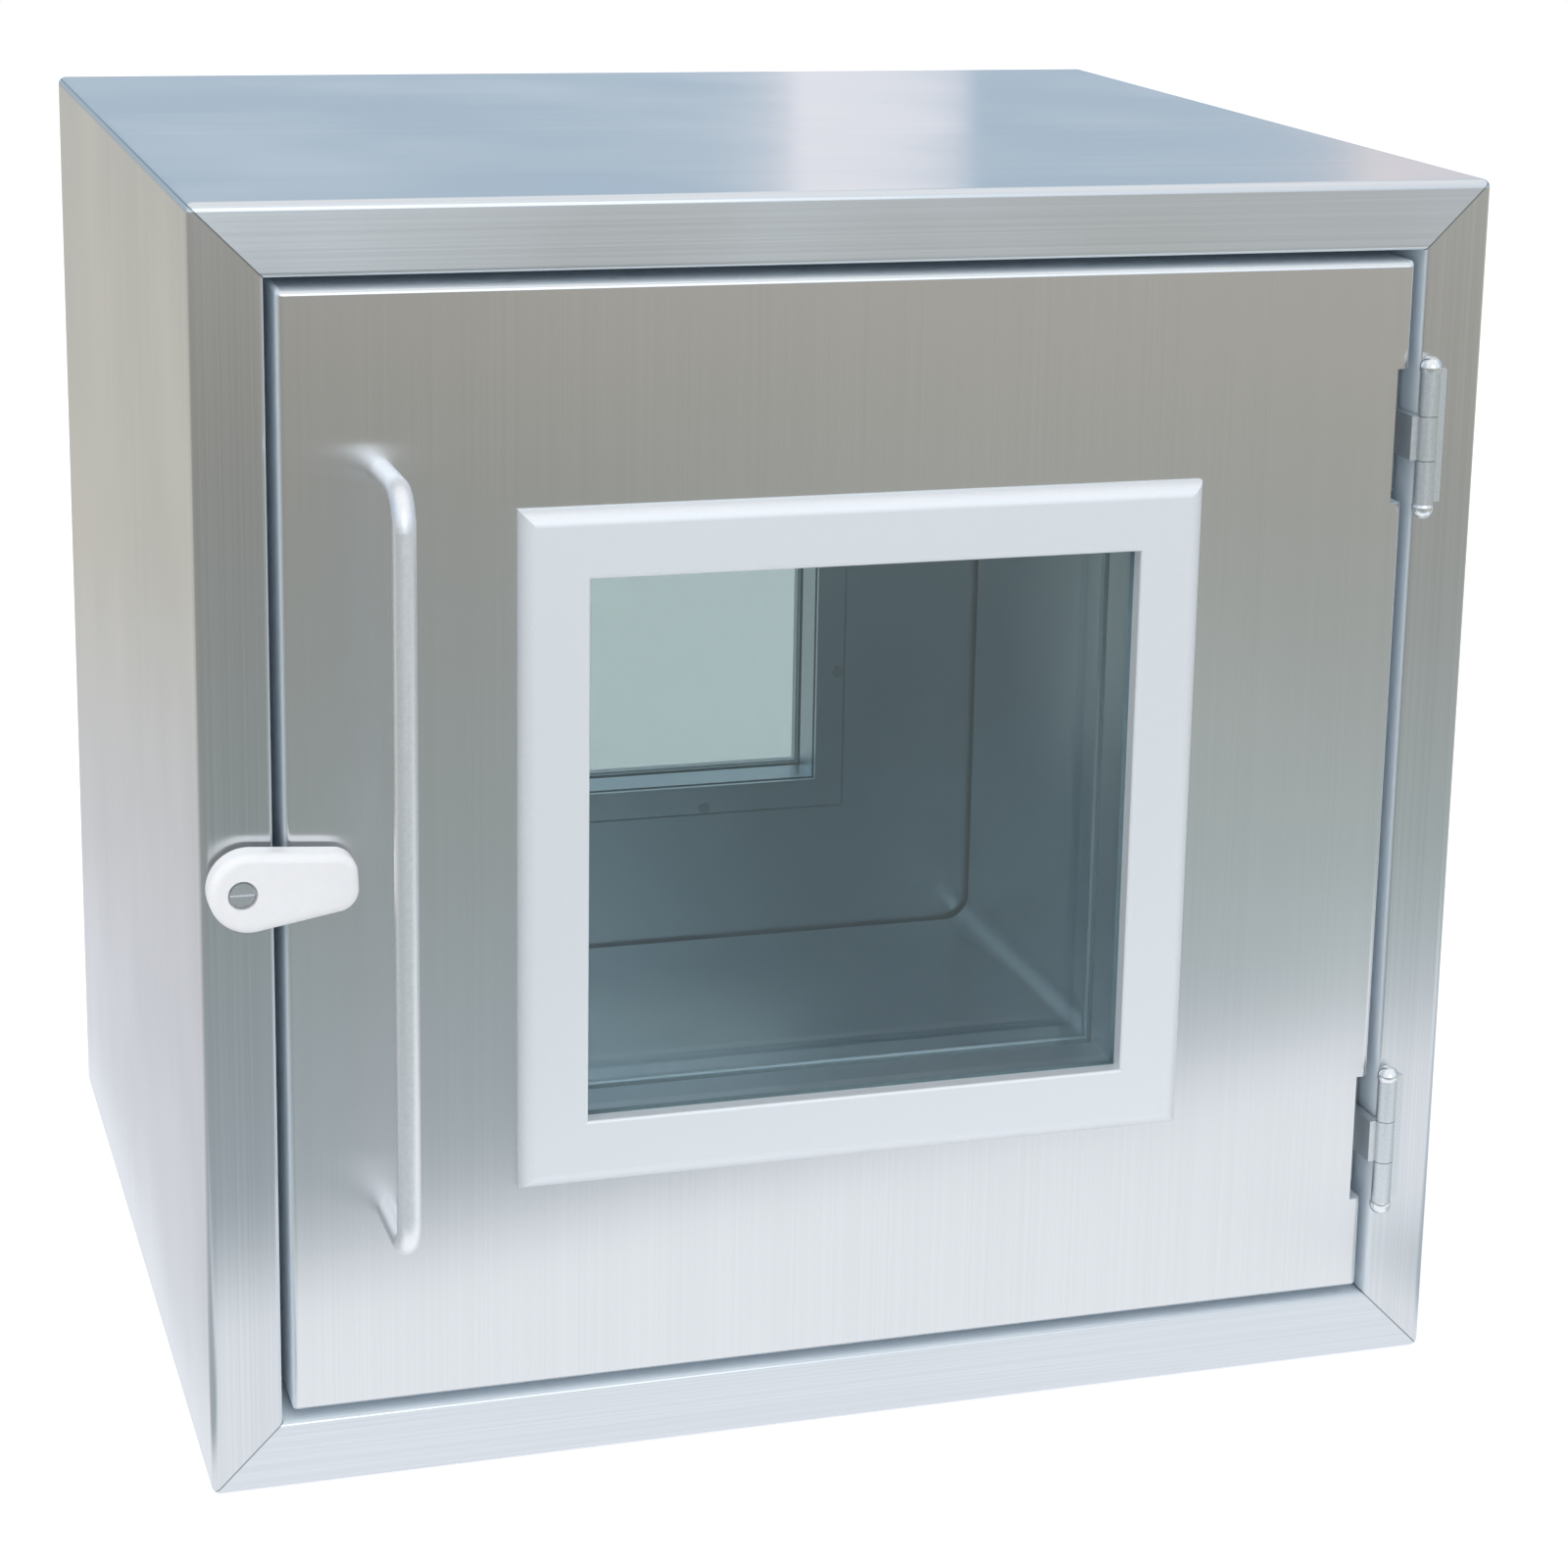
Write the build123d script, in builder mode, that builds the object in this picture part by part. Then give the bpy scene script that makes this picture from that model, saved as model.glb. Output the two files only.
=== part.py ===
from build123d import *
import os

# Cleanroom pass box: a double-walled stainless cabinet with a glazed door on the front (-Y) and another
# on the rear (+Y). Millimetres, +Z up, origin at the centre of the base. Everything that a side has is
# modelled at the front, and the rear set is the same one turned half round about Z.

# --- Cabinet -------------------------------------------------------------------------------------
cabinet_width = 600.0
cabinet_depth = 530.0
cabinet_height = 585.0
skin = 1.5  # sheet thickness of cabinet, liner and doors
cabinet_bend = 4.0  # outside radius of the folded outer edges
frame_face = 32.0  # width of the face frame around a door opening
reveal_bend = 2.0  # outside radius where the face frame folds into the reveal

# --- Chamber -------------------------------------------------------------------------------------
chamber_width = 457.0
chamber_height = 442.0
cove_radius = 15.0  # coved long edges, so that the chamber wipes clean

# --- Doors ---------------------------------------------------------------------------------------
door_gap = 5.0  # between a door's edge and the reveal
door_thickness = 40.0
door_bend = 3.0  # outside radius of the pan's folded front edges
door_corner = 2.0  # outside radius of the pan's welded corners
core_clearance = 0.5  # around the infill
landing_depth = 4.5  # from the door's back to the landing frame that it closes on
seal_inset = 18.0  # from the door's edge to the seal
seal_width = 10.0
seal_corner = 12.0
seal_lip = 1.5  # radius of the seal's nose
seal_clearance = 0.3  # between the resting seal and its landing

# --- Double-glazed window ------------------------------------------------------------------------
window_width = 260.0
window_height = 254.0
glass_thickness = 5.0  # outer pane
inner_glass_thickness = 4.0
glass_overlap = 6.0  # how far panes and gaskets run past the cut-out
gasket_thickness = 1.5
trim_width = 31.0
trim_height = 8.0
trim_round = 7.0  # radius of the trim's outer edge
trim_inner_round = 1.5
trim_lip = 1.0  # how far the trim covers the cut-out's edge
bead_width = 18.0
bead_thickness = 3.0
bead_bevel = 1.5
bead_screw_pitch = 120.0
bead_screw_diameter = 4.0
bead_screw_head = 7.0
bead_screw_head_height = 1.8
bead_screw_length = 7.0  # under the head
bead_screw_inset = 5.5  # from the bead's outer edge

# --- Handle --------------------------------------------------------------------------------------
handle_diameter = 10.5
handle_standoff = 50.0  # from the door's face to the bar's axis
handle_span = 338.0  # between the legs' axes
handle_from_bottom = 93.5  # from the door's bottom edge to the lower leg
handle_from_side = 44.0  # from the door's latch edge
handle_bend = 15.0
handle_screw_diameter = 6.0
handle_screw_depth = 14.0  # thread in each leg
handle_screw_head = 11.0
handle_screw_head_height = 4.0

# --- Hinges --------------------------------------------------------------------------------------
hinge_from_top = 82.5  # from the door's top edge to the upper hinge's middle
hinge_from_bottom = 78.5
hinge_length = 63.0
knuckle_diameter = 9.5
frame_knuckle_length = 20.8  # each of the two outer knuckles
knuckle_gap = 0.3
hinge_pin_diameter = 5.0
pin_clearance = 0.05  # radial, in the turning knuckle
pin_ball_diameter = 10.5
pin_ball_height = 7.0
axis_from_opening = 3.0  # hinge axis beyond the opening's edge
axis_from_face = 5.5  # hinge axis in front of the face frame
foot_thickness = 2.0
foot_strip = 5.0  # strip that joins the two welded feet
foot_clearance = 0.6  # between the strip and the turning knuckle
leaf_thickness = 4.0
leaf_length = 60.0
leaf_front = 18.0  # from the face frame back to the leaf's full-length part
leaf_depth = 17.0
notch_width = 6.0  # relief in the door's edge beside each hinge
notch_depth = 15.0
notch_margin = 2.0  # relief past each end of the leaf
hinge_screw_diameter = 5.0
hinge_screw_head = 8.6
hinge_screw_pitch = 22.0
hinge_screw_length = 14.0

# --- Turn latch ----------------------------------------------------------------------------------
latch_from_side = 16.5  # from the cabinet's side to the pivot
latch_height = 288.5  # pivot above the base
lever_round = 18.0  # radius of the lever's pivot end
lever_round_offset = 3.5  # its centre, from the pivot towards the nose
lever_reach = 50.5  # pivot to nose
lever_nose = 27.0  # height of the nose
lever_nose_corner = 10.0
lever_thickness = 12.0
lever_edge = 4.0
lever_tilt = 3.0  # degrees that the nose points up when shut
bush_collar = 18.0
bush_diameter = 12.0
bush_height = 3.7  # collar, in front of the face frame
bush_depth = 2.0  # shank behind the sheet
latch_clearance = 0.3
spindle_diameter = 8.0
spindle_clearance = 0.05  # radial, in the bush
spindle_socket = 6.0  # how far the spindle enters the lever
latch_screw_diameter = 5.0
latch_screw_head = 10.5
latch_counterbore = 13.0
latch_screw_head_height = 3.0
latch_screw_length = 13.0  # under the head
latch_screw_recess = 1.5  # head below the lever's face
latch_screw_slot = 1.4
nut_across_flats = 13.0
nut_height = 6.5
spindle_end = 2.0  # past the nut

# --- Places that follow from the sizes -----------------------------------------------------------
same_place = 1e-6  # tolerance when edges are picked by where they lie
middle = cabinet_height / 2
face = -cabinet_depth / 2  # the front face frame's plane
opening_width = cabinet_width - 2 * frame_face
opening_height = cabinet_height - 2 * frame_face
door_width = opening_width - 2 * door_gap
door_height = opening_height - 2 * door_gap
door_back = face + door_thickness
landing = door_back + landing_depth
liner_length = 2 * abs(landing + skin)
pane_width = window_width + 2 * glass_overlap
pane_height = window_height + 2 * glass_overlap
outer_pane_front = face + skin + gasket_thickness
outer_pane_back = outer_pane_front + glass_thickness
inner_pane_back = door_back - skin - gasket_thickness
inner_pane_front = inner_pane_back - inner_glass_thickness
sight_width = window_width - 2 * trim_lip
sight_height = window_height - 2 * trim_lip
handle_x = -door_width / 2 + handle_from_side
handle_low = middle - door_height / 2 + handle_from_bottom
hinge_x = opening_width / 2 + axis_from_opening
hinge_y = face - axis_from_face
hinge_heights = {
    "upper": middle + door_height / 2 - hinge_from_top,
    "lower": middle - door_height / 2 + hinge_from_bottom,
}
door_edge = door_width / 2
leaf_outside = door_edge + leaf_thickness
door_knuckle_length = hinge_length - 2 * frame_knuckle_length - 2 * knuckle_gap
leaf_middle = face + leaf_front + leaf_depth / 2
notch_length = leaf_length + 2 * notch_margin
hinge_screw_places = [
    Plane(origin=(leaf_outside, leaf_middle, height + step * hinge_screw_pitch), z_dir=(1, 0, 0))
    for height in hinge_heights.values()
    for step in (-1, 0, 1)
]
bead_screw_x = sight_width / 2 + bead_width - bead_screw_inset
bead_screw_z = sight_height / 2 + bead_width - bead_screw_inset
bead_screw_places = [
    (across * x, middle + up * z)
    for x, z in ((bead_screw_x, bead_screw_pitch / 2), (bead_screw_pitch / 2, bead_screw_z))
    for across in (-1, 1)
    for up in (-1, 1)
]
latch_x = -cabinet_width / 2 + latch_from_side
lever_back = face - bush_height - latch_clearance
lever_front = lever_back - lever_thickness
spindle_front = lever_back - spindle_socket
nut_front = face + skin + bush_depth + latch_clearance
screw_under_head = lever_front + latch_screw_recess + latch_screw_head_height

os.makedirs("parts", exist_ok=True)


def save(piece, node, turn=0):
    """Label a finished piece, turned about Z, and write its STEP file."""
    shape = piece.part.rotate(Axis.Z, turn)
    shape.label = node
    export_step(shape, f"parts/{node}.step")


def save_for_both_sides(piece, name):
    """Write the front piece, then the same one turned half round for the rear."""
    save(piece, f"front_{name}")
    save(piece, f"rear_{name}", 180)


def facing(y, x=0.0, z=middle):
    """A plane that faces the front at depth y, with its X to the right and its Y up."""
    return Plane.XZ.offset(-y).shift_origin((x, y, z))


def block(front, back, width, height, corner=0.0, mode=Mode.ADD):
    """Add or cut a rectangle, centred on the door, from one depth back to another."""
    with BuildSketch(facing(front)) as outline:
        Rectangle(width, height)
        if corner:
            fillet(outline.vertices(), corner)
    extrude(outline.sketch, amount=front - back, mode=mode)


def rod(front, back, diameter, x, z=middle, mode=Mode.ADD):
    """Add or cut a round bar along Y."""
    with BuildSketch(facing(front, x, z)) as outline:
        Circle(diameter / 2)
    extrude(outline.sketch, amount=front - back, mode=mode)


def front_rim(piece):
    """The edges around the foremost flat face."""
    return piece.faces().filter_by(Axis.Y).sort_by(Axis.Y)[0].edges()


def opening_rim(piece, depth, width, height):
    """The edges around a rectangular opening, in the plane at one depth."""
    return [
        edge
        for edge in piece.edges()
        if abs(edge.center().Y - depth) < same_place
        and abs(edge.center().X) < width / 2 + same_place
        and abs(edge.center().Z - middle) < height / 2 + same_place
    ]


def mitre(ring, width, height, kept):
    """Cut one side out of a rectangular ring along the 45 degree planes through its corners."""
    across, up = {"top": (0, 1), "bottom": (0, -1), "left": (-1, 0), "right": (1, 0)}[kept]
    with BuildPart() as side:
        add(ring.part)
        for turn in (-1, 1):
            corner = (across + turn * up, up + turn * across)
            normal = (across - turn * up, 0, up - turn * across)
            place = (corner[0] * width / 2, 0, middle + corner[1] * height / 2)
            split(bisect_by=Plane(origin=place, z_dir=normal), keep=Keep.TOP)
    return side


# --- Casing: one folded shell, mitred into four panels -------------------------------------------
with BuildPart() as casing_hollow:
    block(face + skin, -face - skin, cabinet_width - 2 * skin, cabinet_height - 2 * skin)
    fillet(casing_hollow.edges(), cabinet_bend - skin)

with BuildPart() as casing:
    block(face, -face, cabinet_width, cabinet_height)
    fillet(casing.edges(), cabinet_bend)
    add(casing_hollow.part, mode=Mode.SUBTRACT)
    block(face, landing, opening_width + 2 * skin, opening_height + 2 * skin)
    block(-landing, -face, opening_width + 2 * skin, opening_height + 2 * skin)
    block(face, -face, opening_width, opening_height, mode=Mode.SUBTRACT)
    for depth in (face, -face):
        fillet(opening_rim(casing, depth, opening_width, opening_height), reveal_bend)
    rod(face, face + skin, bush_diameter, latch_x, latch_height, Mode.SUBTRACT)
    rod(-face - skin, -face, bush_diameter, -latch_x, latch_height, Mode.SUBTRACT)

for kept in ("top", "bottom", "left", "right"):
    save(mitre(casing, cabinet_width, cabinet_height, kept), f"casing_{kept}_panel")

# --- Chamber liner and the landing frames that carry it ------------------------------------------
with BuildPart() as chamber_liner:
    end = liner_length / 2
    outer_corner = cove_radius + skin
    block(-end, end, chamber_width + 2 * skin, chamber_height + 2 * skin, outer_corner)
    block(-end, end, chamber_width, chamber_height, cove_radius, Mode.SUBTRACT)
save(chamber_liner, "chamber_liner")

with BuildPart() as landing_frame:
    block(landing, landing + skin, opening_width + 2 * skin, opening_height + 2 * skin)
    block(landing, landing + skin, chamber_width, chamber_height, cove_radius, Mode.SUBTRACT)
save_for_both_sides(landing_frame, "landing_frame")

# --- Door: outer pan, inner pan and infill -------------------------------------------------------


def cut_notches(margin=0.0):
    """Cut the relief beside each hinge out of the door's front corner, grown by a margin."""
    for height in hinge_heights.values():
        with Locations((door_edge, face, height)):
            Box(
                2 * (notch_width + margin),
                2 * (notch_depth + margin),
                notch_length + 2 * margin,
                mode=Mode.SUBTRACT,
            )


def drill_for_hinge_screws(diameter, length):
    """Drill from the hinge leaves' outside into the door's edge."""
    for place in hinge_screw_places:
        with Locations(place):
            Cylinder(diameter / 2, length, align=(Align.CENTER, Align.CENTER, Align.MAX), mode=Mode.SUBTRACT)


with BuildPart() as pan_hollow:
    block(face + skin, door_back - skin, door_width - 2 * skin, door_height - 2 * skin)
    fillet(front_rim(pan_hollow), door_bend - skin)
    cut_notches(skin)

with BuildPart() as door_outer_pan:
    block(face, door_back - skin, door_width, door_height, door_corner)
    fillet(front_rim(door_outer_pan), door_bend)
    cut_notches()
    add(pan_hollow.part, mode=Mode.SUBTRACT)
    block(face, face + skin, window_width, window_height, mode=Mode.SUBTRACT)
    for height in (handle_low, handle_low + handle_span):
        rod(face, face + skin, handle_screw_diameter, handle_x, height, Mode.SUBTRACT)
    drill_for_hinge_screws(hinge_screw_diameter, hinge_screw_length)
save_for_both_sides(door_outer_pan, "door_outer_pan")

with BuildPart() as door_inner_pan:
    block(door_back - skin, door_back, door_width, door_height, door_corner)
    block(door_back - skin, door_back, window_width, window_height, mode=Mode.SUBTRACT)
    for x, z in bead_screw_places:
        rod(door_back - skin, door_back, bead_screw_diameter, x, z, Mode.SUBTRACT)
save_for_both_sides(door_inner_pan, "door_inner_pan")

with BuildPart() as door_core:
    loose = 2 * core_clearance
    block(face + skin, door_back - skin, door_width - 2 * skin - loose, door_height - 2 * skin - loose)
    fillet(front_rim(door_core), door_bend - skin)
    cut_notches(skin + core_clearance)
    block(face, door_back, pane_width + loose, pane_height + loose, mode=Mode.SUBTRACT)
    for height in (handle_low, handle_low + handle_span):
        pocket = face + skin + handle_screw_head_height + core_clearance
        rod(face, pocket, handle_screw_head + loose, handle_x, height, Mode.SUBTRACT)
    for x, z in bead_screw_places:
        tip = door_back + bead_thickness - bead_screw_length - core_clearance
        rod(tip, door_back, bead_screw_diameter + loose, x, z, Mode.SUBTRACT)
    drill_for_hinge_screws(hinge_screw_diameter + loose, hinge_screw_length + core_clearance)
save_for_both_sides(door_core, "door_core")

with BuildPart() as door_seal:
    seal_back = landing - seal_clearance
    seal_size = [door_width - 2 * seal_inset, door_height - 2 * seal_inset]
    block(door_back, seal_back, *seal_size, seal_corner)
    seal_size = [size - 2 * seal_width for size in seal_size]
    block(door_back, seal_back, *seal_size, seal_corner - seal_width, Mode.SUBTRACT)
    fillet(door_seal.faces().sort_by(Axis.Y)[-1].edges(), seal_lip)
save_for_both_sides(door_seal, "door_seal")

# --- Window: two panes on a tunnel frame, trimmed outside and beaded inside ----------------------
with BuildPart() as window_outer_glass:
    block(outer_pane_front, outer_pane_back, pane_width, pane_height)
save_for_both_sides(window_outer_glass, "window_outer_glass")

with BuildPart() as window_inner_glass:
    block(inner_pane_front, inner_pane_back, pane_width, pane_height)
save_for_both_sides(window_inner_glass, "window_inner_glass")

with BuildPart() as window_tunnel:
    block(outer_pane_back, outer_pane_back + skin, pane_width, pane_height)
    block(inner_pane_front - skin, inner_pane_front, pane_width, pane_height)
    block(outer_pane_back, inner_pane_front, window_width + 2 * skin, window_height + 2 * skin)
    block(outer_pane_back, inner_pane_front, window_width, window_height, mode=Mode.SUBTRACT)
save_for_both_sides(window_tunnel, "window_tunnel")

with BuildPart() as glazing_gaskets:
    block(face + skin, outer_pane_front, pane_width, pane_height)
    block(inner_pane_back, door_back - skin, pane_width, pane_height)
    block(face, door_back, window_width, window_height, mode=Mode.SUBTRACT)
save_for_both_sides(glazing_gaskets, "glazing_gaskets")

with BuildPart() as window_trim:
    trim_size = (sight_width + 2 * trim_width, sight_height + 2 * trim_width)
    block(face - trim_height, face, *trim_size)
    fillet(front_rim(window_trim), trim_round)
    block(face - trim_height, face, sight_width, sight_height, mode=Mode.SUBTRACT)
    fillet(opening_rim(window_trim, face - trim_height, sight_width, sight_height), trim_inner_round)
for kept in ("top", "bottom", "left", "right"):
    save_for_both_sides(mitre(window_trim, *trim_size, kept), f"window_trim_{kept}")

with BuildPart() as window_bead:
    bead_back = door_back + bead_thickness
    block(door_back, bead_back, sight_width + 2 * bead_width, sight_height + 2 * bead_width)
    chamfer(window_bead.faces().sort_by(Axis.Y)[-1].edges(), bead_bevel)
    block(door_back, bead_back, sight_width, sight_height, mode=Mode.SUBTRACT)
    for x, z in bead_screw_places:
        rod(door_back, bead_back, bead_screw_diameter, x, z, Mode.SUBTRACT)
save_for_both_sides(window_bead, "window_bead")

with BuildPart() as window_bead_screws:
    for x, z in bead_screw_places:
        rod(bead_back, bead_back + bead_screw_head_height, bead_screw_head, x, z)
        rod(bead_back - bead_screw_length, bead_back, bead_screw_diameter, x, z)
save_for_both_sides(window_bead_screws, "window_bead_screws")

# --- Handle: one bent rod, held by a screw in each leg -------------------------------------------
with BuildPart() as door_handle:
    low, high = handle_low, handle_low + handle_span
    bar_y = face - handle_standoff
    with BuildLine() as route:
        corners = [(handle_x, y, z) for y, z in ((face, high), (bar_y, high), (bar_y, low), (face, low))]
        FilletPolyline(*corners, radius=handle_bend)
    with BuildSketch(facing(face, handle_x, high)):
        Circle(handle_diameter / 2)
    sweep()
    for height in (low, high):
        rod(face - handle_screw_depth, face, handle_screw_diameter, handle_x, height, Mode.SUBTRACT)
save_for_both_sides(door_handle, "door_handle")

with BuildPart() as handle_screws:
    for height in (handle_low, handle_low + handle_span):
        under_head = face + skin
        rod(face - handle_screw_depth, under_head, handle_screw_diameter, handle_x, height)
        rod(under_head, under_head + handle_screw_head_height, handle_screw_head, handle_x, height)
save_for_both_sides(handle_screws, "handle_screws")

# --- Hinges: a leaf welded to the face frame, a leaf screwed to the door's edge, and a pin -------
for place, height in hinge_heights.items():
    with BuildPart() as hinge_frame_leaf:
        strip_inside = hinge_x + knuckle_diameter / 2 + foot_clearance
        foot_width = strip_inside + foot_strip - hinge_x
        for end in (-1, 1):
            knuckle_middle = height + end * (hinge_length - frame_knuckle_length) / 2
            with Locations((hinge_x, hinge_y, knuckle_middle)):
                Cylinder(knuckle_diameter / 2, frame_knuckle_length)
            with Locations((hinge_x, face, knuckle_middle)):
                Box(foot_width, foot_thickness, frame_knuckle_length, align=(Align.MIN, Align.MAX, Align.CENTER))
        with Locations((strip_inside, face, height)):
            Box(foot_strip, foot_thickness, hinge_length, align=(Align.MIN, Align.MAX, Align.CENTER))
        with Locations((hinge_x, hinge_y, height)):
            Cylinder(hinge_pin_diameter / 2, hinge_length, mode=Mode.SUBTRACT)
    save_for_both_sides(hinge_frame_leaf, f"{place}_hinge_frame_leaf")

    with BuildPart() as hinge_door_leaf:
        with BuildSketch(Plane.XY.offset(height - door_knuckle_length / 2)):
            with Locations((hinge_x, hinge_y)):
                Circle(knuckle_diameter / 2)
            with Locations((door_edge, hinge_y)):
                Rectangle(hinge_x - door_edge, knuckle_diameter / 2, align=Align.MIN)
                Rectangle(leaf_thickness, face + leaf_front - hinge_y, align=Align.MIN)
        extrude(amount=door_knuckle_length)
        with Locations((door_edge, face + leaf_front, height)):
            Box(leaf_thickness, leaf_depth, leaf_length, align=(Align.MIN, Align.MIN, Align.CENTER))
        with Locations((hinge_x, hinge_y, height)):
            Cylinder(hinge_pin_diameter / 2 + pin_clearance, hinge_length, mode=Mode.SUBTRACT)
        for screw_place in hinge_screw_places:
            with Locations(screw_place):
                CounterSinkHole(hinge_screw_diameter / 2, hinge_screw_head / 2, counter_sink_angle=90)
    save_for_both_sides(hinge_door_leaf, f"{place}_hinge_door_leaf")

with BuildPart() as hinge_screws:
    for screw_place in hinge_screw_places:
        with Locations(screw_place):
            Cylinder(hinge_screw_diameter / 2, hinge_screw_length, align=(Align.CENTER, Align.CENTER, Align.MAX))
            Cone(
                hinge_screw_diameter / 2,
                hinge_screw_head / 2,
                (hinge_screw_head - hinge_screw_diameter) / 2,
                align=(Align.CENTER, Align.CENTER, Align.MAX),
            )
save_for_both_sides(hinge_screws, "hinge_screws")

with BuildPart() as hinge_pins:
    for height in hinge_heights.values():
        ball_middle = hinge_length / 2 + pin_ball_height - pin_ball_diameter / 2
        with Locations((hinge_x, hinge_y, height + ball_middle), (hinge_x, hinge_y, height - ball_middle)):
            Sphere(pin_ball_diameter / 2)
        with Locations((hinge_x, hinge_y, height)):
            Cylinder(pin_ball_diameter, hinge_length, mode=Mode.SUBTRACT)
            Cylinder(hinge_pin_diameter / 2, hinge_length)
    add(hinge_pins.part.rotate(Axis.Z, 180))
save(hinge_pins, "hinge_pins")

# --- Turn latch: a lever on the face frame, whose nose reaches over the door's edge --------------
with BuildPart() as latch_bushes:
    rod(face - bush_height, face, bush_collar, latch_x, latch_height)
    rod(face, face + skin + bush_depth, bush_diameter, latch_x, latch_height)
    bore = spindle_diameter + 2 * spindle_clearance
    rod(face - bush_height, face + skin + bush_depth, bore, latch_x, latch_height, Mode.SUBTRACT)
    add(latch_bushes.part.rotate(Axis.Z, 180))
save(latch_bushes, "latch_bushes")

with BuildPart() as latch_lever:
    with BuildSketch(facing(lever_back, latch_x, latch_height).rotated((0, -lever_tilt, 0))):
        with Locations((lever_round_offset, 0)):
            Circle(lever_round)
        nose_x, nose_z = lever_reach - lever_nose_corner, lever_nose / 2 - lever_nose_corner
        with Locations((nose_x, nose_z), (nose_x, -nose_z)):
            Circle(lever_nose_corner)
        make_hull()
    extrude(amount=lever_thickness)
    fillet(front_rim(latch_lever), lever_edge)
    rod(lever_front, lever_back, latch_screw_diameter, latch_x, latch_height, Mode.SUBTRACT)
    rod(lever_front, screw_under_head, latch_counterbore, latch_x, latch_height, Mode.SUBTRACT)
    rod(spindle_front, lever_back, spindle_diameter, latch_x, latch_height, Mode.SUBTRACT)
save_for_both_sides(latch_lever, "latch_lever")

with BuildPart() as latch_spindle:
    spindle_back = nut_front + nut_height + spindle_end
    rod(spindle_front, spindle_back, spindle_diameter, latch_x, latch_height)
    screw_tip = screw_under_head + latch_screw_length
    rod(spindle_front, screw_tip, latch_screw_diameter, latch_x, latch_height, Mode.SUBTRACT)
save_for_both_sides(latch_spindle, "latch_spindle")

with BuildPart() as latch_nut:
    with BuildSketch(facing(nut_front, latch_x, latch_height)):
        RegularPolygon(nut_across_flats / 2, 6, major_radius=False)
        Circle(spindle_diameter / 2, mode=Mode.SUBTRACT)
    extrude(amount=-nut_height)
save_for_both_sides(latch_nut, "latch_nut")

with BuildPart() as latch_screw:
    head_front = screw_under_head - latch_screw_head_height
    rod(head_front, screw_under_head, latch_screw_head, latch_x, latch_height)
    rod(screw_under_head, screw_tip, latch_screw_diameter, latch_x, latch_height)
    with Locations((latch_x, head_front, latch_height)):
        Box(latch_screw_head, 2 * latch_screw_slot, latch_screw_slot, mode=Mode.SUBTRACT)
save_for_both_sides(latch_screw, "latch_screw")
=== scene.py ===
# %% [markdown]
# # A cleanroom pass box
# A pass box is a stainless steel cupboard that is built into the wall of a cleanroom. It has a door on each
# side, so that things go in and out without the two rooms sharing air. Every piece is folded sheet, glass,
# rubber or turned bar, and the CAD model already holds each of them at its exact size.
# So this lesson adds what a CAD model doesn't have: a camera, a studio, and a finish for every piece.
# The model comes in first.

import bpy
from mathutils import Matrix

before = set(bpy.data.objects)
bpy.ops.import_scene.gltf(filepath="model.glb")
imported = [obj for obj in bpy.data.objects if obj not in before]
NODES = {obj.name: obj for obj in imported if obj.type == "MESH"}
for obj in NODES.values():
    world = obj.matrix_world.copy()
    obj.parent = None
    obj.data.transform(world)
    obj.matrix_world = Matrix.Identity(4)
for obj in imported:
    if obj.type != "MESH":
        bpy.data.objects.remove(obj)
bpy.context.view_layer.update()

from math import radians

import bpy
import numpy as np
from mathutils import Matrix

CABINET_WIDTH, CABINET_HEIGHT = 0.600, 0.585
print("pieces from the CAD model:", len(NODES))

# %% [markdown]
# ## The camera
# A product picture of a cupboard is taken from a little above its top, and from one corner, so that three
# faces show. A long lens keeps the edges nearly parallel. The picture plane is slid sideways and down with
# the lens shift, as an architect's camera does, and the rest is a turn of the camera itself.

# %% The camera
camera = bpy.data.objects.new("camera", bpy.data.cameras.new("camera"))
bpy.context.collection.objects.link(camera)
SENSOR_WIDTH_MM, LENS_MM, LENS_SHIFT = 36.0, 82.934, (-0.05289, -0.11546)
CAMERA_PLACE = (-0.489693, -1.764319, 0.785629)
TURNED_RIGHT, LOOKS_DOWN, TILT = radians(18.093), radians(13.764), radians(1.344)
camera.data.sensor_width = SENSOR_WIDTH_MM
camera.data.lens = LENS_MM
camera.data.shift_x, camera.data.shift_y = LENS_SHIFT
camera.matrix_world = (
    Matrix.Translation(CAMERA_PLACE)
    @ Matrix.Rotation(-TURNED_RIGHT, 4, "Z")
    @ Matrix.Rotation(radians(90) - LOOKS_DOWN, 4, "X")
    @ Matrix.Rotation(TILT, 4, "Z")
)
bpy.context.scene.camera = camera
bpy.context.scene.view_settings.view_transform = "Standard"
print("camera stands at", [round(value, 3) for value in camera.matrix_world.translation])

# %% [markdown]
# ## Two helpers for colour and nodes
# A colour written as sRGB hex is what a screen shows. Blender mixes light in linear values, so one function
# turns the one into the other. Every material below is a small graph of nodes, and a single function adds
# a node, sets its own settings and fills its sockets, either with a value or with a link.

# %% Colour and node helpers
def linear(code):
    """An sRGB hex code as linear RGBA: each channel over 255, then c/12.92 where it is dark and
    ((c + 0.055)/1.055)^2.4 elsewhere."""
    screen = np.array([int(code[i:i + 2], 16) for i in (1, 3, 5)]) / 255
    light = np.where(screen <= 0.04045, screen / 12.92, ((screen + 0.055) / 1.055) ** 2.4)
    return (*light.tolist(), 1.0)


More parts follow.
